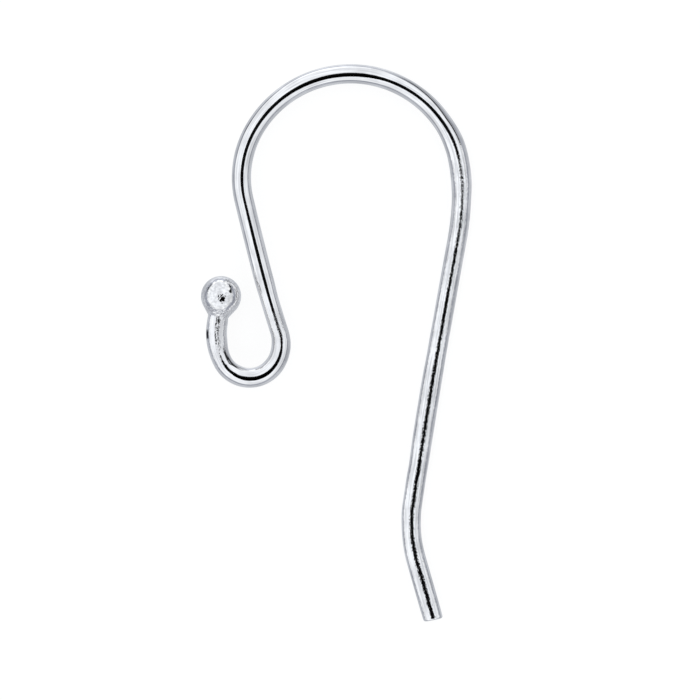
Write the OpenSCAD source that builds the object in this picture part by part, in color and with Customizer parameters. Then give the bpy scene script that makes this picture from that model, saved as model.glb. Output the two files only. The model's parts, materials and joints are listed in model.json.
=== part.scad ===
// Ball-end ear wire: one length of round silver wire, melted to a ball at its front end,
// curled into a small open loop for the drop, and bent over into the arch that hangs in the ear.
// It lies on its side as it comes to rest on a table: +Z up, +Y towards the crown of the arch,
// +X towards the tail side. The origin is under the middle of its outline, on the table.

/* [Wire] */
// Diameter of the wire, 21 gauge
wire_d = 0.72; // [0.5:0.01:1]
// Radius of the rounded edge round the cut end of the tail
tip_round = 0.08; // [0.02:0.01:0.15]

/* [Ear bend] */
// Inside diameter of the arch that hangs in the ear
arch_d = 7.6; // [5:0.1:12]

/* [Drop loop] */
// Inside diameter of the small loop that holds the drop's ring
loop_d = 1.54; // [1:0.02:3]

/* [Ball end] */
// Diameter of the ball
ball_d = 1.5; // [1:0.05:2.2]
// Half angle of the taper by which the ball runs down to the wire, in degrees
neck_taper_deg = 38; // [30:1:50]
// Radius of the fillet where that taper meets the wire
neck_fillet = 0.06; // [0.02:0.01:0.2]
// Straight wire between the small loop and that fillet
neck_len = 0.23; // [0.05:0.01:1.5]

/* [Front stem] */
// Length of wire from the arch down to the small loop
front_len = 5.05; // [3:0.05:10]
// Slight set in the front stem, towards the ear, in degrees
front_set_deg = 4.5; // [2:0.5:8]

/* [Back stem and tail] */
// Length of the nearly straight back stem
back_len = 9.9; // [5:0.1:20]
// Slight bow of the back stem, in degrees
back_bow_deg = 2; // [1.5:0.5:8]
// Turn of the kick that throws the tail away from the neck, in degrees
kick_deg = 24.5; // [10:0.5:40]
// Radius of the kick on the wire's centreline
kick_r = 5; // [1:0.1:10]
// Straight tail below the kick, to its cut end
tail_len = 2.31; // [1:0.01:6]

/* [Hidden] */
wire_r = wire_d / 2;
ball_r = ball_d / 2;
arch_r = (arch_d + wire_d) / 2;
loop_r = (loop_d + wire_d) / 2;
// From the fillet's foot to the ball's centre, so that wire, fillet, taper and ball run together
neck_reach = (ball_r + neck_fillet - (wire_r + neck_fillet) * cos(neck_taper_deg))
    / sin(neck_taper_deg);
// Radius of the flat on the cut end, inside its rounded edge
flat_r = wire_r - tip_round;

// The bending schedule runs both ways from the crown of the arch, one row for each bend: its
// radius on the centreline, and its turn in degrees, to the left where it is positive. A
// hand-bent arch opens out towards its shoulders, so each stretch of it has its own share of
// the arch's radius. Radii are kept to a thousandth and turns to a hundredth, so that each
// bend starts exactly where the one before it ends.
RADIUS = 0;
TURN = 1;
function bend_row(radius, turn) = [round(1000 * radius) / 1000, round(100 * turn) / 100];
// Hand-formed wire is nowhere quite straight: a stem is a bow of this length
function bow_row(length, turn) = bend_row(length / (abs(turn) * PI / 180), turn);
front_rows = [
    // radius or length, turn
    bend_row(arch_r, 59.5),                         // crown of the arch
    bend_row(0.865 * arch_r, 44),                   // its tighter front shoulder
    bow_row(0.5 * front_len, 0.2 * front_set_deg),  // upper half of the front stem
    bow_row(0.5 * front_len, 0.8 * front_set_deg),  // lower half, set towards the ear
    bend_row(1.3 * loop_r, -48.5),                  // foot of the stem, into the loop
    bend_row(loop_r, -122),                         // bottom of the loop
    bend_row(2.05 * loop_r, -37),                   // its open side, up to the ball
];
back_rows = [
    // radius or length, turn
    bend_row(arch_r, -56.5),                        // crown of the arch
    bend_row(0.87 * arch_r, -21.5),                 // its back shoulder, in three stretches
    bend_row(1.53 * arch_r, -14.5),
    bend_row(2.7 * arch_r, -8),
    bow_row(back_len, back_bow_deg),                // back stem
    bend_row(kick_r, kick_deg),                     // kick above the tail
];

// A station on the wire is [x, y, heading], in the plane of the bent wire
CROWN_FORWARD = [0, 0, 180];
CROWN_BACK = [0, 0, 0];
// Sides of a round section in a preview, and the angle between the points that measure a bend
ROUND_SIDES = 32;
SAMPLE_DEG = 0.5;

function ahead(st, run) = [st.x + run * cos(st.z), st.y + run * sin(st.z), st.z];
// The centre of a bend lies square to the wire, on the side to which it turns
function centre_of(st, radius, turn) =
    [st.x - sign(turn) * radius * sin(st.z), st.y + sign(turn) * radius * cos(st.z)];
function turned(st, radius, turn) =
    let (centre = centre_of(st, radius, turn), out = sign(turn) * radius)
    [centre.x + out * sin(st.z + turn), centre.y - out * cos(st.z + turn), st.z + turn];
// The stations before each row, and the one after the last
function stations(st, rows, i = 0) =
    i == len(rows) ? [st]
        : concat([st], stations(turned(st, rows[i][RADIUS], rows[i][TURN]), rows, i + 1));
// Points along the centreline of the bends
function centreline(start, rows) =
    let (places = stations(start, rows))
    [
        for (i = [0 : len(rows) - 1])
            let (row = rows[i], steps = ceil(abs(row[TURN]) / SAMPLE_DEG))
            for (k = [0 : steps])
                let (point = turned(places[i], row[RADIUS], k / steps * row[TURN]))
                [point.x, point.y]
    ];

loop_end = stations(CROWN_FORWARD, front_rows)[len(front_rows)];
ball_centre = ahead(loop_end, neck_len + neck_reach);
kick_end = stations(CROWN_BACK, back_rows)[len(back_rows)];
tip_start = ahead(kick_end, tail_len - tip_round);

// At rest the wire lies on the ball, on the tail's end and on the back shoulder of the arch.
// The line through the last two is the one that leaves the whole wire on its left.
wire_points = concat(centreline(CROWN_FORWARD, front_rows), centreline(CROWN_BACK, back_rows));
rest_heading = min([for (p = wire_points) atan2(p.y - tip_start.y, p.x - tip_start.x)]);
rest_line = [cos(rest_heading), sin(rest_heading)];
// How far a point lies along that line, and how far to its left
function along_line(p) = (p.x - tip_start.x) * rest_line.x + (p.y - tip_start.y) * rest_line.y;
function off_line(p) = (p.y - tip_start.y) * rest_line.x - (p.x - tip_start.x) * rest_line.y;
// The ball is thicker than the wire, so the ear wire lies tilted by this angle
rest_tilt = asin((ball_r - wire_r) / off_line(ball_centre));
// Where a point of the centreline comes to lie, seen from above and from the tail's end
function laid(p) =
    let (along = along_line(p), off = off_line(p) * cos(rest_tilt))
    [along * rest_line.x - off * rest_line.y, along * rest_line.y + off * rest_line.x];

laid_points = [for (p = wire_points) laid(p)];
laid_ball = laid(ball_centre);
laid_tail = laid(ahead(tip_start, 1));
x_low = min(min([for (p = laid_points) p.x]) - wire_r, laid_ball.x - ball_r);
x_high = max([for (p = laid_points) p.x]) + wire_r;
// The cut end reaches furthest down where its rounded edge turns under
y_low = -flat_r * sqrt(1 - laid_tail.y ^ 2) - tip_round;
y_high = max([for (p = laid_points) p.y]) + wire_r;
outline_middle = [(x_low + x_high) / 2, (y_low + y_high) / 2];

// Moves to a point in two steps, hundredths first, so that a far centre keeps its last digits
module exactly_at(p) {
    near = [round(100 * p.x) / 100, round(100 * p.y) / 100];
    translate(near) translate([p.x - near.x, p.y - near.y]) children();
}

// Stands on a station and points +Z along the wire
module at_station(st) {
    exactly_at(st) rotate([0, -90, st.z + 180]) children();
}

module bend(st, radius, turn) {
    first = turn > 0 ? st.z - 90 : st.z + 90 + turn;
    steps = 4 + ceil(abs(turn) / 4);
    exactly_at(centre_of(st, radius, turn))
        rotate_extrude(start = first, angle = abs(turn), $fn = ceil(360 * steps / abs(turn)))
            translate([radius, 0]) rotate(90) circle(d = wire_d, $fn = ROUND_SIDES);
}

// The wire through one side's whole schedule, from the crown outwards
module bent_wire(start, rows) {
    places = stations(start, rows);
    for (i = [0 : len(rows) - 1]) bend(places[i], rows[i][RADIUS], rows[i][TURN]);
}

// The end of the wire drawn up into a ball, with the taper and small fillet where the metal ran
module ball_end() {
    middle = [0, neck_len + neck_reach];
    fillet_middle = [wire_r + neck_fillet, neck_len];
    off_taper = [cos(neck_taper_deg), -sin(neck_taper_deg)];
    at_station(loop_end)
        rotate_extrude($fn = ROUND_SIDES) {
            square([wire_r, neck_len]);
            difference() {
                polygon([
                    [0, neck_len],
                    fillet_middle,
                    fillet_middle - neck_fillet * off_taper,
                    middle + ball_r * off_taper,
                    middle
                ]);
                translate(fillet_middle) circle(r = neck_fillet, $fn = ROUND_SIDES);
            }
            translate(middle) intersection() {
                circle(r = ball_r, $fn = ROUND_SIDES);
                translate([0, -ball_r]) square([ball_r, ball_d]);
            }
        }
}

// The straight tail and its cut end, the edge rounded so that it passes through the ear
module tail() {
    barrel = tail_len - tip_round;
    at_station(kick_end)
        rotate_extrude($fn = ROUND_SIDES) {
            square([wire_r, barrel]);
            square([flat_r, tail_len]);
            translate([flat_r, barrel]) intersection() {
                circle(r = tip_round, $fn = ROUND_SIDES);
                square(tip_round);
            }
        }
}

// Lays the bent wire down on its three points and moves the origin under its middle
module at_rest() {
    translate([-outline_middle.x, -outline_middle.y, wire_r])
        rotate(a = rest_tilt, v = [rest_line.x, rest_line.y, 0])
            translate([-tip_start.x, -tip_start.y, 0])
                children();
}

module ear_wire() {
    color("silver")
        at_rest() {
            bent_wire(CROWN_FORWARD, front_rows);
            ball_end();
            bent_wire(CROWN_BACK, back_rows);
            tail();
        }
}

ear_wire();
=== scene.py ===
# %% [markdown]
# # A ball-end ear wire in polished silver
#
# An ear wire is the hook that carries a drop earring: one length of round silver wire, melted to
# a small ball at one end, curled into a loop and bent over into the arch that hangs in the ear.
# This notebook dresses its solid model with a mirror finish and photographs it from straight
# above on white paper. Everything is in metres, in the frame of the solid model.

# %% Load the solid model
import json
import math

import bpy
import numpy as np
from mathutils import Matrix, Vector

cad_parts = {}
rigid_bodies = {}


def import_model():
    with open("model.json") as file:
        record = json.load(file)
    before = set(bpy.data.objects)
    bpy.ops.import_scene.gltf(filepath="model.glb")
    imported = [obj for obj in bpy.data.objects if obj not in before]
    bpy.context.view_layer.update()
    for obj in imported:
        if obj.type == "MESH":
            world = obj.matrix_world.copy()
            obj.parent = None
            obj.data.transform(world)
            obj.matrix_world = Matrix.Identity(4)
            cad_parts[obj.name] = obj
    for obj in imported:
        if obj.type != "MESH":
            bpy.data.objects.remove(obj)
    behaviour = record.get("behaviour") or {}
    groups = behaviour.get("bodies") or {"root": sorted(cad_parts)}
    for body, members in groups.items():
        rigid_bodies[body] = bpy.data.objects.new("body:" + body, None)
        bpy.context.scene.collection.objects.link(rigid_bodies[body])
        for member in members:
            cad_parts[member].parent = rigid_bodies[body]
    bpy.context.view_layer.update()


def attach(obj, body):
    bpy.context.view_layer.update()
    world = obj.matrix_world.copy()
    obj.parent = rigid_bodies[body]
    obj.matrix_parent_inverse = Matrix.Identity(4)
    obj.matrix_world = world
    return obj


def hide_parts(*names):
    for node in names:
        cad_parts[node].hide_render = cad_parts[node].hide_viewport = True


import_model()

mm = 0.001

# %% [markdown]
# ## The wire's own sizes
#
# The solid model is cut into flat facets when it is packed. A mirror shows every facet, so the
# wire is modelled again here, finely, from the same sizes and the same bending schedule. A curve
# object with a round bevel could do it, but it can't widen into a ball with a fillet, and its
# rings can't be set closer on the tight bends. A mesh of rings can, so that is what is built.

# %% Sizes of the wire
wire_d = 0.72 * mm       # 21 gauge
tip_round = 0.08 * mm    # rounded edge round the cut end
arch_d = 7.6 * mm        # inside the arch
loop_d = 1.54 * mm       # inside the small loop
ball_d = 1.5 * mm
neck_taper = math.radians(38)  # by which the ball runs down to the wire
neck_fillet = 0.06 * mm
neck_len = 0.23 * mm
front_len = 5.05 * mm
front_set_deg = 4.5
back_len = 9.9 * mm
back_bow_deg = 2
kick_deg = 24.5
kick_r = 5 * mm
tail_len = 2.31 * mm

wire_r, ball_r = wire_d / 2, ball_d / 2
arch_r, loop_r = (arch_d + wire_d) / 2, (loop_d + wire_d) / 2
flat_r = wire_r - tip_round
neck_reach = (ball_r + neck_fillet - (wire_r + neck_fillet) * math.cos(neck_taper)) \
    / math.sin(neck_taper)
print("from the fillet's foot to the ball's centre: %.3f mm" % (neck_reach / mm))

# %% [markdown]
# ## The bending schedule
#
# A wire bender thinks in bends: a radius, and how far the wire turns there. The schedule runs
# both ways from the crown of the arch. A row of it turns left where its angle is positive. The
# stems are long bows of 4.5 and 2 degrees, because hand-formed wire is nowhere quite straight.

# %% Bends from the crown to the ball, and from the crown to the tail
def bend_row(radius, turn):
    return round(radius / mm, 3) * mm, round(turn, 2)


def bow_row(length, turn):
    return bend_row(length / math.radians(abs(turn)), turn)


front_rows = {
    "crown": bend_row(arch_r, 59.5),
    "front shoulder": bend_row(0.865 * arch_r, 44),
    "upper stem": bow_row(0.5 * front_len, 0.2 * front_set_deg),
    "lower stem": bow_row(0.5 * front_len, 0.8 * front_set_deg),
    "foot of the stem": bend_row(1.3 * loop_r, -48.5),
    "loop": bend_row(loop_r, -122),
    "open side": bend_row(2.05 * loop_r, -37),
}
back_rows = {
    "crown": bend_row(arch_r, -56.5),
    "back shoulder": bend_row(0.87 * arch_r, -21.5),
    "below the shoulder": bend_row(1.53 * arch_r, -14.5),
    "top of the back stem": bend_row(2.7 * arch_r, -8),
    "back stem": bow_row(back_len, back_bow_deg),
    "kick": bend_row(kick_r, kick_deg),
}
print("front:", sum(t for _, t in front_rows.values()), "degrees in all")
print("back:", sum(t for _, t in back_rows.values()), "degrees in all")

# %% [markdown]
# ## Stations on the wire
#
# A station is a place on the wire's centreline and the direction in which the wire runs on from
# there. The next one lies straight ahead or round a bend. A curve object could be asked for such
# places, but these two short sums give them exactly, as the solid model has them.

# %% The next station, straight ahead or round a bend
def ahead(station, run):
    x, y, heading = station
    return x + run * math.cos(heading), y + run * math.sin(heading), heading


def turned(station, radius, turn):
    x, y, heading = station
    side = math.copysign(radius, turn)
    after = heading + turn
    return (x + side * (math.sin(after) - math.sin(heading)),
            y - side * (math.cos(after) - math.cos(heading)), after)


crown_to_ball, crown_to_tail = (0.0, 0.0, math.pi), (0.0, 0.0, 0.0)
across_loop = turned(crown_to_tail, loop_r, math.pi)[1]
print("half a turn of the loop leads across by %.2f mm" % (across_loop / mm))

# %% [markdown]
# ## Walking along the wire
#
# Walking the schedule in short steps gives the stations on which the rings will stand. Steps are
# never longer than a degree and a half of a bend, so a highlight stays smooth.

# %% Stations on the centreline, in the plane of the wire
longest_step, widest_step = 0.16 * mm, math.radians(1.5)


def walk(station, rows):
    """Stations along the rows, each with its distance from the crown."""
    line, gone = [(0.0, station)], 0.0
    for radius, turn in rows.values():
        turn = math.radians(turn)
        steps = math.ceil(max(abs(turn) / widest_step, radius * abs(turn) / longest_step))
        line += [(gone + radius * abs(turn) * k / steps, turned(station, radius, turn * k / steps))
                 for k in range(1, steps + 1)]
        gone, station = line[-1]
    return line


front_line = walk(crown_to_ball, front_rows)
back_line = walk(crown_to_tail, back_rows)
loop_end, kick_end = front_line[-1][1], back_line[-1][1]
ball_height, barrel = neck_len + neck_reach, tail_len - tip_round
ball_centre = ahead(loop_end, ball_height)
tip_start = ahead(kick_end, barrel)
print("stations:", len(front_line), "to the neck,", len(back_line), "to the tail")

# %% [markdown]
# ## How it lies on the table
#
# Laid down on its side, the wire touches the table in three places: the ball, the end of the
# tail and the back shoulder of the arch. The ball is thicker than the wire, so the whole piece
# leans by about two and a half degrees. The same lean is worked out here, so that the fine mesh
# lies exactly in the solid model.

# %% The resting place
def flat(station):
    return Vector((station[0], station[1], 0.0))


centreline = [flat(station) for _, station in front_line + back_line]
rest_heading = min(math.atan2(p.y - tip_start[1], p.x - tip_start[0]) for p in centreline)
rest_axis = Vector((math.cos(rest_heading), math.sin(rest_heading), 0.0))
off_axis = rest_axis.cross(flat(ball_centre) - flat(tip_start)).z
rest_tilt = math.asin((ball_r - wire_r) / off_axis)
lean = Matrix.Rotation(rest_tilt, 3, rest_axis)


def laid(point):
    return lean @ (point - flat(tip_start))


tail_way = laid(flat(ahead(tip_start, 1.0)))
laid_line = [laid(p) for p in centreline]
x_low = min(min(p.x for p in laid_line) - wire_r, laid(flat(ball_centre)).x - ball_r)
x_high = max(p.x for p in laid_line) + wire_r
y_low = -flat_r * math.sqrt(1 - tail_way.y ** 2) - tip_round
y_high = max(p.y for p in laid_line) + wire_r
to_row = Vector((-(x_low + x_high) / 2, -(y_low + y_high) / 2, wire_r))
print("lean: %.3f degrees" % math.degrees(rest_tilt))

# %% [markdown]
# ## Outline of the ball end
#
# The end of the wire was melted until it drew itself up into a ball, and the metal ran out to
# the wire over a taper and a small fillet. A sphere stuck on the wire would leave a sharp line
# between them, so ball, taper and fillet are one outline here, turned about the wire.

# %% Ball, taper, fillet and the straight bit of wire below them
ball_rings, taper_rings, fillet_rings = 64, 6, 6
outline = []  # height over the end of the bends, and radius
for angle in np.linspace(0, math.pi / 2 + neck_taper, ball_rings + 1)[1:]:
    outline.append((ball_height + ball_r * math.cos(angle), ball_r * math.sin(angle)))
ball_foot = outline[-1]
fillet_head = (neck_len + neck_fillet * math.sin(neck_taper),
               wire_r + neck_fillet * (1 - math.cos(neck_taper)))
for share in np.linspace(0, 1, taper_rings + 1)[1:]:
    outline.append([a + share * (b - a) for a, b in zip(ball_foot, fillet_head)])
for angle in np.linspace(neck_taper, 0, fillet_rings + 1)[1:]:
    outline.append((neck_len + neck_fillet * math.sin(angle),
                    wire_r + neck_fillet * (1 - math.cos(angle))))
outline += [(neck_len * share, wire_r) for share in (0.75, 0.5, 0.25)]
print("ball end:", len(outline), "rings, %.2f mm high" % (outline[0][0] / mm))

# %% [markdown]
# ## Rings for the whole wire
#
# Each ring has a middle, a direction and a radius. Along the bends the radius stays that of the
# wire. At the front end the rings follow the ball's outline, and at the tail they follow the
# rounded edge of the cut, so ball, wire and cut end are one skin, as they are one piece of
# metal. Each ring also remembers how far along the wire it is.

# %% Rings from the pole of the ball to the cut end of the tail
barrel_rings, edge_rings = 16, 10
rings = []  # (middle, direction, radius, distance along the wire from the crown)


def ring(station, radius, along, heads_to_crown=False):
    heading = station[2] + (math.pi if heads_to_crown else 0.0)
    rings.append((flat(station), heading, radius, along))


neck_at, kick_at = front_line[-1][0], back_line[-1][0]
for out, radius in outline:
    ring(ahead(loop_end, out), radius, -(neck_at + out), True)
for along, station in reversed(front_line[1:]):
    ring(station, wire_r, -along, True)
for along, station in back_line:
    ring(station, wire_r, along)
for k in range(1, barrel_rings + 1):
    out = barrel * k / barrel_rings
    ring(ahead(kick_end, out), wire_r, kick_at + out)
for k in range(1, edge_rings + 1):
    angle = math.radians(90) * k / edge_rings
    out = barrel + tip_round * math.sin(angle)
    ring(ahead(kick_end, out), flat_r + tip_round * math.cos(angle), kick_at + out)
for share in (0.94, 0.5):  # of the flat on the cut end
    ring(ahead(kick_end, tail_len), share * flat_r, kick_at + tail_len)
print("rings:", len(rings), "wire length: %.2f mm" % ((rings[-1][3] - rings[0][3]) / mm))

# %% [markdown]
# ## How a mark comes and goes
#
# Nothing that a hand does to a wire starts or ends with a step. The forming marks and the finish
# both need an amount that rises smoothly along the wire and fades again. A straight ramp would
# leave a kink in a mirror at each of its ends, so the rise is a smooth step.

# %% A smooth rise, and a rise with a fade
def rises(value, start, end):
    """0 before start, 1 after end, and a smooth step between them."""
    share = np.clip((value - start) / (end - start), 0, 1)
    return share * share * (3 - 2 * share)


def swell(value, start, end, fade):
    """1 between start and end, fading to 0 outside them."""
    return rises(value, start - fade, start) * (1 - rises(value, end, end + fade))


print("a rise, quarter by quarter:", [float(rises(quarter, 0, 4)) for quarter in range(5)])

# %% [markdown]
# ## Marks of hand forming
#
# Wire that was bent by hand has swollen or thinned a little where the pliers and the mandrel
# held it, by a few hundredths of a millimetre, and a mirror finish shows that in its
# highlights. A row of marks moves the skin out to the left or the right of the way from the
# ball to the tail, or takes it off the top. Where the top is pressed flat the dark line along
# it gets wider, and where it is drawn up into a faint ridge, below nought, the line gets thin.
# Each mark rises and fades smoothly along its stretch.

# %% How far the skin stands out at a place on the wire
# From, to and fade along the wire, out to the left, out to the right and off the top, in mm
marks = [
    (-17.2, -16.7, 0.8, 0.058, 0.004, 0.0),     # leg below the ball, drawn thick by the flame
    (-16.0, -15.2, 0.5, 0.0, 0.0, -0.05),       # start of the loop
    (-15.0, -13.6, 0.5, 0.018, 0.0, 0.0),       # its bottom
    (-13.4, -13.0, 0.7, 0.0, 0.0, -0.03),       # and its end
    (-12.1, -10.9, 0.7, -0.018, -0.024, 0.0),   # foot of the front stem, held in the pliers
    (-8.0, -8.0, 1.6, 0.0, 0.0, -0.03),         # top of the front stem
    (1.8, 3.2, 1.2, 0.0, 0.0, -0.03),           # arch, past its crown
    (5.0, 6.2, 1.0, 0.041, 0.014, 0.0),         # back shoulder
    (7.0, 7.0, 3.0, 0.0, 0.0, -0.075),          # below it, where the mandrel's edge was
    (7.2, 11.5, 1.0, 0.008, -0.008, 0.0),       # top of the back stem
    (12.0, 22.9, 2.0, 0.0, 0.0, 0.032),         # its lower half and the tail, straightened
    (14.0, 16.0, 1.2, 0.004, 0.024, 0.0),       # middle of the back stem
    (17.6, 18.8, 0.6, -0.008, 0.015, 0.0),      # kick
    (18.0, 22.9, 1.5, 0.0, 0.0, 0.03),          # kick and tail, pressed once more
    (20.6, 22.4, 0.8, 0.013, 0.013, 0.0),       # tail below the kick
]


def stands_out(along):
    """How far the skin stands out left and right of the way, and how far its top is pressed in."""
    shares = [swell(along / mm, start, end, fade) for start, end, fade, *_ in marks]
    return [float(sum(share * mark[side] for share, mark in zip(shares, marks))) * mm
            for side in (3, 4, 5)]


print("back shoulder, mm:", [round(out / mm, 3) for out in stands_out(5.6 * mm)])

# %% [markdown]
# ## Points of the skin
#
# Each ring becomes a row of points round the wire, moved by the forming marks. Two more small
# things belong to this piece of wire alone: the ball bulges a little where it froze last, and
# the tail is cut askew, because side cutters rarely cut square. Both are too low for the solid
# model, and both show in a mirror.

# %% Points round every ring, and one point to close each end
sides = 96
turns = np.linspace(0, 2 * np.pi, sides, endpoint=False)
cut_slant, slant_reach = math.radians(4.5), 0.8 * mm
ball_middle = laid(flat(ball_centre))
bulge_h, bulge_reach, bulge_way = 0.03 * mm, 0.3 * mm, Vector((0.10, -0.45, 0.887))
bulge = ball_middle + ball_r * bulge_way
ball_at, wire_end = neck_at + ball_height, kick_at + tail_len

points, along_points = [], []
for middle, heading, radius, along in rings:
    onward = Vector((math.cos(heading), math.sin(heading), 0.0))
    across = Vector((-math.sin(heading), math.cos(heading), 0.0))
    left, right, pressed = (out * min(1.0, radius / wire_r) for out in stands_out(along))
    slant = math.tan(cut_slant) * float(rises(along, wire_end - slant_reach, wire_end))
    for angle in turns:
        sideways = (radius + (left + right) / 2) * math.cos(angle) + (left - right) / 2
        upward = (radius - (pressed if angle < math.pi else 0.0)) * math.sin(angle)
        spoke = across * sideways + Vector((0, 0, 1)) * upward
        point = laid(middle + spoke + onward * slant * sideways)
        if -along > ball_at - ball_r:
            fall = math.exp(-((point - bulge).length / bulge_reach) ** 2 / 2)
            point += (point - ball_middle).normalized() * bulge_h * fall
        points.append(point + to_row)
        along_points.append(along)
ball_pole, tail_middle = len(points), len(points) + 1
points.append(laid(flat(ahead(ball_centre, ball_r))) + to_row)
points.append(laid(flat(ahead(kick_end, tail_len))) + to_row)
along_points += [-(ball_at + ball_r), wire_end]
print("highest point of the ball: %.3f mm" % (max(point.z for point in points) / mm))

# %% [markdown]
# ## Faces of the skin
#
# Neighbouring rings are joined with four-sided faces, and a single point closes each end, so the
# skin has no hole. Each corner of a face also notes its place round the wire, counted on past
# the last side, because a map that jumped back to nought there would tear.

# %% Faces, and the place of their corners round the wire
faces, face_turns = [], []
for r in range(len(rings) - 1):
    for s in range(sides):
        t = (s + 1) % sides
        faces.append((r * sides + s, r * sides + t, (r + 1) * sides + t, (r + 1) * sides + s))
        face_turns.append((s, s + 1, s + 1, s))
last = (len(rings) - 1) * sides
for s in range(sides):
    t = (s + 1) % sides
    faces.append((ball_pole, t, s))
    face_turns.append((s + 0.5, s + 1, s))
    faces.append((tail_middle, last + s, last + t))
    face_turns.append((s + 0.5, s, s + 1))
print("faces:", len(faces))

# %% [markdown]
# ## The skin and its map
#
# The skin gets a map whose two directions are real lengths on the wire, along it and round it,
# so that a drawing die's fine lines can later be laid along the wire in millimetres. Unwrapping
# it by a tool would cut it into islands, and the lines would break at their edges.

# %% Mesh, map and object
skin = bpy.data.meshes.new("silver_ear_wire")
skin.from_pydata(points, [], faces)
skin.polygons.foreach_set("use_smooth", [True] * len(faces))
wire_map = skin.uv_layers.new(name="wire_map")
round_wire = math.pi * wire_d / mm
wire_map.data.foreach_set("uv", [
    value for face, places in zip(faces, face_turns) for corner, place in zip(face, places)
    for value in (along_points[corner] / mm, place / sides * round_wire)])
skin.validate()
silver_ear_wire = bpy.data.objects.new("silver_ear_wire", skin)
bpy.context.scene.collection.objects.link(silver_ear_wire)
print("map: %.2f mm round the wire," % round_wire, len(skin.vertices), "points")

# %% [markdown]
# ## What was done to each stretch of the wire
#
# The wire comes from a drawing die with a skin of fine lines. Bending it round a mandrel
# burnishes the crown and the small loop, melting the ball leaves an orange peel on the ball and
# along the leg below it, and the pliers dull the skin where they grip. Painting that by hand
# would be vague, so each point gets three numbers from its place: how much is left of the drawn
# skin, how much there is of the fire's, and how far the pliers dulled it.

# %% Drawn skin, fire skin and dulled skin
along = np.array(along_points) / mm
round_degrees = np.append(np.tile(np.degrees(turns), len(rings)), [0.0, 0.0])
leg = swell(along, -17.2, -16.0, 0.5)  # the wire between the ball and the loop

# The flame struck a strip on the leg's top, which runs over towards the loop's outer side
strip_at, strip_shift, strip_half, strip_edge = 81, 9, 4, 12  # degrees round the wire
off_strip = np.abs(round_degrees - strip_at - strip_shift * rises(along, -16.6, -15.9))
strip = leg * (1 - rises(off_strip, strip_half, strip_edge))
ball_top = ball_middle + to_row + Vector((0, 0, ball_r))
from_ball_top = np.array([(point - ball_top).length for point in points]) / mm

# Where, in mm along the wire, and how much it adds to the drawn, the fire's and the dulled skin
handling = [
    (np.ones(len(along)), 0.12, 0.0, 0.0),                     # the whole wire
    (rises(along, 4.2, 7.0), 0.88, 0.0, 0.0),                  # from the back shoulder to the tail
    (leg, 5.0, 0.0, 0.08),                                     # leg, scored along its length
    (strip, 0.0, 0.4, 0.25),                                   # strip that the flame struck
    (strip * swell(along, -17.0, -16.4, 0.3), 0.0, 0.0, 0.3),  # and its middle
    (swell(along, -17.75, -17.45, 0.15), 0.0, 0.6, 0.3),       # where ball and wire ran together
    (rises(-along, 17.3, 17.8), 0.0, 0.2, 0.0),                # ball
    (1 - rises(from_ball_top, 0.2, 0.4), 0.0, 0.33, 0.0),      # and its top
    (swell(along, -12.2, -11.6, 0.5), 0.0, 0.0, 0.4),          # foot of the front stem
    (swell(along, 6.2, 8.0, 0.8), 0.0, 0.2, 0.0),              # below the back shoulder
    (swell(along, 6.1, 8.0, 0.9), 0.0, 0.0, 0.28),             # dulled there a little wider
    (swell(along, 8.4, 9.2, 1.0), 0.0, 0.0, 0.15),             # top of the back stem
]
drawn_skin, fire_skin, dulled = (
    sum(where * amounts[kind] for where, *amounts in handling) for kind in range(3))
print("strip on the leg:", int((strip > 0.5).sum()), "points")

# %% [markdown]
# ## Nicks with tarnish in them
#
# Where the pliers slipped they left a nick, and the tumbler doesn't reach the black tarnish in
# it. A nick could be cut into the mesh, but it is so small that only its colour shows, so it is
# a number on the points as well.

# %% How black each point is
nicks = [  # from, to and fade along the wire, degrees round it, width, all lengths in mm
    (-16.95, -16.75, 0.08, 155, 0.115),  # outer side of the leg
    (-16.1, -15.8, 0.12, 56, 0.06),      # a line where the leg bends into the loop
    (-15.8, -15.3, 0.3, 47, 0.05),
]
tarnished = np.zeros(len(along))
for start, end, fade, degrees, width in nicks:
    beside = np.radians(np.abs(round_degrees - degrees)) * wire_r / mm
    across_nick = 1 - rises(beside, width / 2, width)
    tarnished = np.maximum(tarnished, swell(along, start, end, fade) * across_nick)
print("tarnished:", int((tarnished > 0.5).sum()), "points")

# %% [markdown]
# ## Numbers on the skin
#
# The finish reads what was done to the wire from five attributes of the mesh. A picture wrapped
# round it could hold the same, but numbers on the points need no picture and keep to the metal.
# The one named melted says where the wire melted right through, which is the ball.

# %% Five attributes for the silver to read
skin_numbers = {"drawn_skin": drawn_skin, "fire_skin": fire_skin,
                "melted": rises(-along, 17.4, 17.7), "dulled": dulled, "tarnished": tarnished}
for name, values in skin_numbers.items():
    layer = skin.attributes.new(name, "FLOAT", "POINT")
    layer.data.foreach_set("value", values.astype(np.float32))
    print(name, "from %.2f to %.2f" % (values.min(), values.max()))

# %% [markdown]
# ## Helpers for a finish
#
# Colours are written as they are seen on a screen, and one function turns them to the linear
# values that light is added up in. Another adds a node with its settings and links, so that a
# finish reads as a list of what it is made of.

# %% Colour and node helpers
def linear(hex_colour):
    channels = [int(hex_colour[i:i + 2], 16) / 255 for i in (1, 3, 5)]
    return [c / 12.92 if c <= 0.04045 else ((c + 0.055) / 1.055) ** 2.4 for c in channels] + [1.0]


def add_node(tree, kind, inputs=None, **settings):
    """One node. An input gets a value, a socket's link or a link from a node's first output."""
    node = tree.nodes.new(kind)
    for name, value in settings.items():
        setattr(node, name, value)
    for key, value in (inputs or {}).items():
        if isinstance(value, bpy.types.Node):
            value = value.outputs[0]
        if isinstance(value, bpy.types.NodeSocket):
            tree.links.new(value, node.inputs[key])
        else:
            node.inputs[key].default_value = value
    return node


print("the screen's middle grey is", round(linear("#808080")[0], 3), "in linear light")

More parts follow.
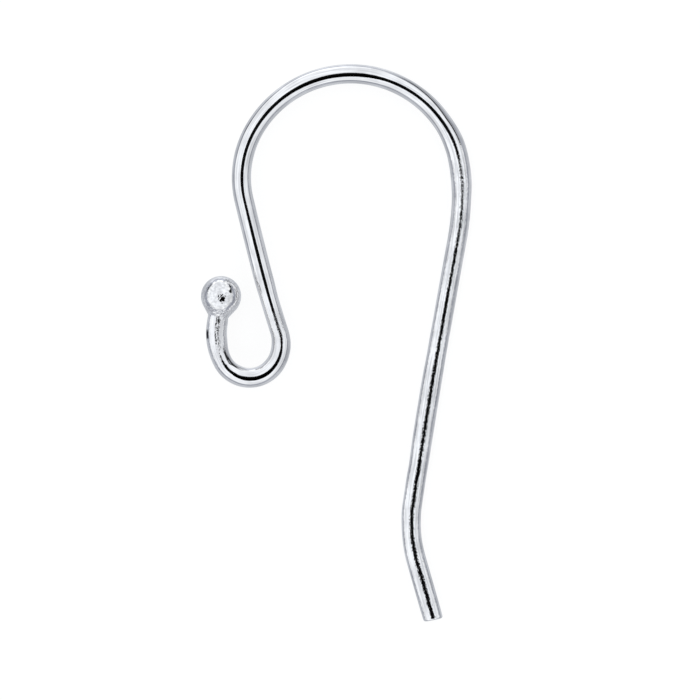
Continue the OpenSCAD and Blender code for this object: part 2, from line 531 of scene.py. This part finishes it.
# %% [markdown]
# ## Sterling silver, drawn and tumbled bright
#
# Sterling silver is a metal that hides nothing: it mirrors its surroundings nearly white, with
# hardly any colour of its own. Tumbling with steel shot leaves it bright but not flat: there are
# tiny dents a few hundredths of a millimetre across, and along the wire the faint lines of the
# die, some bright and some a shade darker. The orange peel near the ball is the same, coarser,
# and a haze varies the polish over larger places. All four are noise, each at its own size.

# %% The silver, what it reads from the skin, and its patterns
silver = bpy.data.materials.new("tumbled_sterling_silver")
silver.use_nodes = True
tree = silver.node_tree
tree.nodes.clear()
place = add_node(tree, "ShaderNodeTexCoord").outputs["Object"]
along_wire = add_node(tree, "ShaderNodeUVMap", uv_map="wire_map")
drawn, fired, melt, dull, tarnish = (
    add_node(tree, "ShaderNodeAttribute", attribute_name=name).outputs["Fac"]
    for name in skin_numbers)

# A pixel is 0.037 mm wide, so die lines and dents are drawn as coarse as the picture can show:
# the real lines are a few thousandths of a millimetre apart, the dents half this size
die_line_run, die_line_gap = 1.5, 0.055  # in mm, as the map along the wire is
dent_across, peel_across, haze_across = 0.075 * mm, 0.09 * mm, 0.7 * mm
peel_shift = (25.9 * mm, 14.8 * mm, 0.0)  # moves the pattern to a part that suits this ball
die_grid = add_node(tree, "ShaderNodeVectorMath", {
    0: along_wire, 1: (1 / die_line_run, 1 / die_line_gap, 1.0)}, operation="MULTIPLY")
peel_place = add_node(tree, "ShaderNodeVectorMath", {0: place, 1: peel_shift}, operation="ADD")
die_lines, dents, peel, haze = (
    add_node(tree, "ShaderNodeTexNoise", {"Vector": vector, "Scale": scale, "Detail": detail})
    for vector, scale, detail in (
        (die_grid, 1.0, 2.0), (place, 1 / dent_across, 2.0),
        (peel_place, 1 / peel_across, 1.0), (place, 1 / haze_across, 4.0)))
print("dents, peel and haze, mm:",
      [round(across / mm, 3) for across in (dent_across, peel_across, haze_across)])

# %% [markdown]
# ## Relief in the silver
#
# Lines, dents and peel are too low to see as shapes and show where they bend a reflection, so
# they go into the bump and not into the mesh. Each has its own depth and its own share of the
# wire, and each lies on the one before it. The dents are deeper where the pliers gripped.

# %% Die lines, dents and orange peel, one on the other
die_line_depth, dent_depth, peel_depth = 0.0009 * mm, 0.0085 * mm, 0.03 * mm
grip_dents = 1.5
tumbled = add_node(tree, "ShaderNodeMath", {0: drawn, 1: 1.0}, operation="MINIMUM")
dented = add_node(tree, "ShaderNodeMath", {0: dull, 1: grip_dents, 2: tumbled},
                  operation="MULTIPLY_ADD")
below = {}
for pattern, amount, depth in ((die_lines, drawn, die_line_depth), (dents, dented, dent_depth),
                               (peel, fired, peel_depth)):
    height = add_node(tree, "ShaderNodeMath", {0: pattern, 1: amount}, operation="MULTIPLY")
    relief = add_node(tree, "ShaderNodeBump", {
        "Strength": 1.0, "Distance": depth, "Height": height, **below})
    below = {"Normal": relief}
print("reliefs:", sum(node.type == "BUMP" for node in tree.nodes))

# %% [markdown]
# ## Gloss and tone of the silver
#
# A tumbled finish is nearly a mirror, so its roughness is close to nought, a little higher in
# the haze and where the pliers gripped. The tone follows the die's lines and the haze, between
# two whites a shade apart. On the ball the lines melted away, and the peel gives the tone there.
# The index of refraction stays at its default, because a metal's colour says all of it.

# %% Roughness, colour and the shader
least_rough, most_rough, grip_rough = 0.02, 0.06, 0.36
haze_from, haze_to = 0.35, 0.75
line_share, haze_share = 0.6, 0.4
tones = ((0.41, "#FCFBFA"), (0.59, "#DAD9D9"))
tarnish_black = "#151517"
polish = add_node(tree, "ShaderNodeMapRange", {
    "Value": haze, "From Min": haze_from, "From Max": haze_to,
    "To Min": least_rough, "To Max": most_rough})
roughness = add_node(tree, "ShaderNodeMath", {0: dull, 1: grip_rough, 2: polish},
                     operation="MULTIPLY_ADD")
melting = add_node(tree, "ShaderNodeMath", {0: peel, 1: die_lines}, operation="SUBTRACT")
streaks = add_node(tree, "ShaderNodeMath", {0: melting, 1: melt, 2: die_lines},
                   operation="MULTIPLY_ADD")
hazy = add_node(tree, "ShaderNodeMath", {0: haze, 1: haze_share}, operation="MULTIPLY")
worn = add_node(tree, "ShaderNodeMath", {0: streaks, 1: line_share, 2: hazy},
                operation="MULTIPLY_ADD")
tone = add_node(tree, "ShaderNodeValToRGB", {"Fac": worn})
for stop, (position, tone_hex) in zip(tone.color_ramp.elements, tones):
    stop.position, stop.color = position, linear(tone_hex)
colour = add_node(tree, "ShaderNodeMixRGB", {
    "Fac": tarnish, "Color1": tone, "Color2": linear(tarnish_black)})
metal = add_node(tree, "ShaderNodeBsdfPrincipled", {
    "Base Color": colour, "Metallic": 1.0, "Roughness": roughness, "Normal": relief})
add_node(tree, "ShaderNodeOutputMaterial", {"Surface": metal})
skin.materials.append(silver)
print("nodes in the silver:", len(tree.nodes))

# %% [markdown]
# ## The wire in the frame
#
# The fine mesh rides on the model's one body, stands for the solid wire, and takes its finish
# from the silver. The solid wire is only hidden: it stays behind for collisions.

# %% Join the fine wire to the solid model
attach(silver_ear_wire, "root")
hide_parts("ear_wire")
print("on the body:", silver_ear_wire.name, "in", silver_ear_wire.data.materials[0].name)

# %% [markdown]
# ## Light tent
#
# A mirror shows its surroundings, so lighting silver means building what it sees. Small findings
# are photographed in a tent of white cloth: even light from all round, a dark opening at the top
# where the camera looks in, and a grey board below. The opening makes the thin black line along
# the wire and the black spot on the ball, and the board makes the grey edges that draw the wire
# on a white page. The tent is the world here, because a world costs no geometry or noise. What
# hangs in it is placed by directions, so the first thing that it needs is angles.

# %% Directions and angles in the tent
tent = bpy.data.worlds.new("light_tent")
bpy.context.scene.world = tent
tent.use_nodes = True
tree = tent.node_tree
tree.nodes.clear()
way = add_node(tree, "ShaderNodeTexCoord").outputs["Generated"]


def towards(tilt, turn):
    """A direction by its angle from straight up, and its bearing from +X towards +Y."""
    tilt, turn = math.radians(tilt), math.radians(turn)
    return Vector((math.sin(tilt) * math.cos(turn), math.sin(tilt) * math.sin(turn),
                   math.cos(tilt)))


def angle_from(direction):
    """How far the ray points away from a direction, in degrees."""
    dot = add_node(tree, "ShaderNodeVectorMath", {0: way, 1: direction}, operation="DOT_PRODUCT")
    angle = add_node(tree, "ShaderNodeMath", {0: dot.outputs["Value"]}, operation="ARCCOSINE")
    return add_node(tree, "ShaderNodeMath", {0: angle}, operation="DEGREES")


print("level with the table, towards the crown:", [round(c, 3) for c in towards(90, 90)])

# %% [markdown]
# ## Walls and board
#
# From the top down, the cloth is white, with its brightest band where the lamps stand, and the
# board below it is grey. The board lies a little askew, and the paper hides it where it curves
# up beyond the arch. Modelled walls would do as well, but a ramp of tones over the angle from
# the top says the same in a few lines.

# %% Tones of the tent from its top down
board_lean, behind_paper = towards(7, 160), towards(90, 97)
paper_from, paper_to, paper_lift = 12.0, 45.0, 20.0  # degrees
tent_tones = [  # degrees down from the top, tone
    (0, "#F5F9FF"), (60, "#F5F9FF"), (76, "#F9FCFF"), (83, "#CDD1D9"), (88, "#A2A6B1"),
    (94, "#999DA9"), (99, "#A8ACB6"), (107, "#C0C4CB"), (180, "#CBCED4"),
]
lifted = add_node(tree, "ShaderNodeMapRange", {
    "Value": angle_from(behind_paper), "From Min": paper_from, "From Max": paper_to,
    "To Min": paper_lift, "To Max": 0.0}, interpolation_type="SMOOTHSTEP")
down = add_node(tree, "ShaderNodeMath", {0: angle_from(board_lean), 1: lifted},
                operation="SUBTRACT")
share = add_node(tree, "ShaderNodeMath", {0: down, 1: 180.0}, operation="DIVIDE")
shade = add_node(tree, "ShaderNodeValToRGB", {"Fac": share})
stops = shade.color_ramp.elements
while len(stops) < len(tent_tones):
    stops.new(0.5)
for stop, (degrees, tone_hex) in zip(stops, tent_tones):
    stop.position, stop.color = degrees / 180, linear(tone_hex)
print("tones from the top down:", len(stops))

# %% [markdown]
# ## Round things in the tent
#
# Everything dark in the tent becomes a mark on the silver. Across the wire the whole tent is
# squeezed into its width, and along the wire a thing runs on as a line, so a clamp becomes a dot
# on the ball and a dash on the wire. The opening is a slit, longer than it is wide, so it is
# made of two discs. The weaker lamp and the light behind the paper are discs with wide edges.

# %% Opening, clamps and uneven light
discs = [  # direction, radius and soft edge in degrees, and what the light is multiplied by
    (towards(10.5, -52), 19.2, 2.5, 0.005),  # upper half of the slit for the camera
    (towards(21.0, -72), 13.5, 2.5, 0.005),  # and its lower half
    (towards(67, 28), 5.0, 3.5, 0.05),       # clamp of the right lamp
    (towards(95, 148), 3.5, 4.0, 0.12),      # clamp of the left lamp
    (towards(60, -14), 5.0, 50.0, 0.8),      # the weaker lamp
    (towards(108, -22), 8.0, 26.0, 0.84),    # and its shadow on the board
    (towards(120, 97), 15.0, 30.0, 1.4),     # light that comes through behind the paper
]
for direction, radius, soft, factor in discs:
    disc = add_node(tree, "ShaderNodeMapRange", {
        "Value": angle_from(direction), "From Min": radius, "From Max": radius + soft,
        "To Min": factor, "To Max": 1.0}, interpolation_type="SMOOTHSTEP")
    shade = add_node(tree, "ShaderNodeVectorMath", {0: shade, 1: disc}, operation="MULTIPLY")
print("round things:", len(discs))

# %% [markdown]
# ## Long things in the tent
#
# A stand or a cable becomes a thin second line on the wire. A modelled one would stand in the
# picture when the camera is low. A rib in the world shows in the silver alone: it is dark near
# the great circle through two directions, and no further than its two ends.

# %% Stands and a cable
rib_end = 8.0  # degrees over which a rib's end fades
ribs = [  # both ends, half width and soft edge in degrees, how dark
    (towards(104, 60), towards(62, 27), 3.0, 4.0, 0.82),    # stand of the right lamp
    (towards(88, 46), towards(70, 24), 6.0, 5.0, 0.35),     # its cable
    (towards(120, 72), towards(112, 40), 3.0, 3.0, 0.5),    # its foot
    (towards(98, 128), towards(91, 165), 2.0, 3.0, 0.6),    # stand of the left lamp
]
for start, end, half, soft, dark in ribs:
    from_pole = angle_from(start.cross(end).normalized())
    off_rib = add_node(tree, "ShaderNodeMath", {0: from_pole, 1: 90.0}, operation="SUBTRACT")
    beside = add_node(tree, "ShaderNodeMath", {0: off_rib}, operation="ABSOLUTE")
    across_rib = add_node(tree, "ShaderNodeMapRange", {
        "Value": beside, "From Min": half, "From Max": half + soft,
        "To Min": dark, "To Max": 0.0}, interpolation_type="SMOOTHSTEP")
    reach = math.degrees(start.angle(end)) / 2
    along_rib = add_node(tree, "ShaderNodeMapRange", {
        "Value": angle_from((start + end).normalized()), "From Min": reach,
        "From Max": reach + rib_end, "To Min": 1.0, "To Max": 0.0},
        interpolation_type="SMOOTHSTEP")
    rib = add_node(tree, "ShaderNodeMath", {0: across_rib, 1: along_rib}, operation="MULTIPLY")
    kept = add_node(tree, "ShaderNodeMath", {0: 1.0, 1: rib}, operation="SUBTRACT")
    shade = add_node(tree, "ShaderNodeVectorMath", {0: shade, 1: kept}, operation="MULTIPLY")
print("long things:", len(ribs))

# %% [markdown]
# ## Folds of the cloth, and the light
#
# Cloth never hangs quite smooth, and its folds shade the white bands on the wire a little. Soft
# noise over the directions is enough for that, since only blurred lines of it can be seen.

# %% Folds, and the tent lit up
fold_scale, tent_light = 4.5, 1.09
fold_from, fold_to, fold_dark, fold_light = 0.35, 0.65, 0.93, 1.04
cloth = add_node(tree, "ShaderNodeTexNoise", {"Vector": way, "Scale": fold_scale, "Detail": 3.0})
folds = add_node(tree, "ShaderNodeMapRange", {
    "Value": cloth, "From Min": fold_from, "From Max": fold_to,
    "To Min": fold_dark, "To Max": fold_light})
shade = add_node(tree, "ShaderNodeVectorMath", {0: shade, 1: folds}, operation="MULTIPLY")
sky = add_node(tree, "ShaderNodeBackground", {"Color": shade, "Strength": tent_light})
add_node(tree, "ShaderNodeOutputWorld", {"Surface": sky})
print("nodes in the tent:", len(tree.nodes))

# %% [markdown]
# ## White paper
#
# Catalogue pictures of findings stand on pure white. A sheet of white paper lies under the wire
# and curves up all round, so that a low camera sees it too. A flat plane would end in a horizon.
# It is left out of reflections: the silver shows the grey board of the tent instead, or its
# edges would melt into the page.

# %% A round sheet of paper that curves up at its edge
paper_r, rim_r, wall_h, paper_sides, rim_steps = 0.45, 0.15, 0.35, 96, 13
profile = [(r, 0.0) for r in (0.0, 0.02, 0.1, 0.25)]  # radius and height, from the middle out
profile += [(paper_r + rim_r * math.sin(a), rim_r * (1 - math.cos(a)))
            for a in np.radians(np.linspace(0, 90, rim_steps))]
profile.append((paper_r + rim_r, rim_r + wall_h))
paper_points = [(0.0, 0.0, 0.0)] + [
    (r * math.cos(a), r * math.sin(a), h) for r, h in profile[1:]
    for a in np.linspace(0, 2 * np.pi, paper_sides, endpoint=False)]
paper_faces = [(0, 1 + s, 1 + (s + 1) % paper_sides) for s in range(paper_sides)]
for r in range(len(profile) - 2):
    a, b = 1 + r * paper_sides, 1 + (r + 1) * paper_sides
    paper_faces += [(a + s, b + s, b + (s + 1) % paper_sides, a + (s + 1) % paper_sides)
                    for s in range(paper_sides)]
sheet = bpy.data.meshes.new("white_paper")
sheet.from_pydata(paper_points, [], paper_faces)
sheet.polygons.foreach_set("use_smooth", [True] * len(paper_faces))
white_paper = bpy.data.objects.new("white_paper", sheet)
bpy.context.scene.collection.objects.link(white_paper)
white_paper.visible_glossy = False
print("paper:", len(sheet.polygons), "faces")

# %% [markdown]
# ## Matt paper, lit from behind
#
# The paper is matt and has no shine at all. Plain white paper would turn grey in the wire's own
# soft shadow, so it is a little translucent, as on a light table: part of its white is a glow.

# %% The paper's finish
paper_tone, paper_glow = "#787878", 0.87
paper = bpy.data.materials.new("matt_white_paper")
paper.use_nodes = True
tree = paper.node_tree
tree.nodes.clear()
face = add_node(tree, "ShaderNodeBsdfPrincipled", {
    "Base Color": linear(paper_tone), "Roughness": 0.9, "Specular IOR Level": 0.0,
    "Emission Color": linear("#FFFFFF"), "Emission Strength": paper_glow})
add_node(tree, "ShaderNodeOutputMaterial", {"Surface": face})
sheet.materials.append(paper)
print("nodes in the paper:", len(tree.nodes))

# %% [markdown]
# ## Camera
#
# The picture was taken from straight above. The camera stands well away from the wire, so that
# its view hardly spreads, and frames as much of the table as the picture shows.

# %% Camera straight above the wire
picture_across = 26.11 * mm
looks_at = Vector((0.519 * mm, -0.253 * mm, 0.5 * mm))
camera_up = 0.3
lens = bpy.data.cameras.new("camera")
lens.lens = lens.sensor_width * camera_up / picture_across
lens.clip_start, lens.clip_end = 0.01, 2.0
camera = bpy.data.objects.new("camera", lens)
camera.location = looks_at + Vector((0, 0, camera_up))
bpy.context.scene.collection.objects.link(camera)
bpy.context.scene.camera = camera
bpy.context.scene.view_settings.view_transform = "Standard"
print("lens: %.0f mm" % lens.lens)

# %% [markdown]
# ## The end
#
# The dressed wire has to be as large as the solid one.

# %% Finish
print("finished")
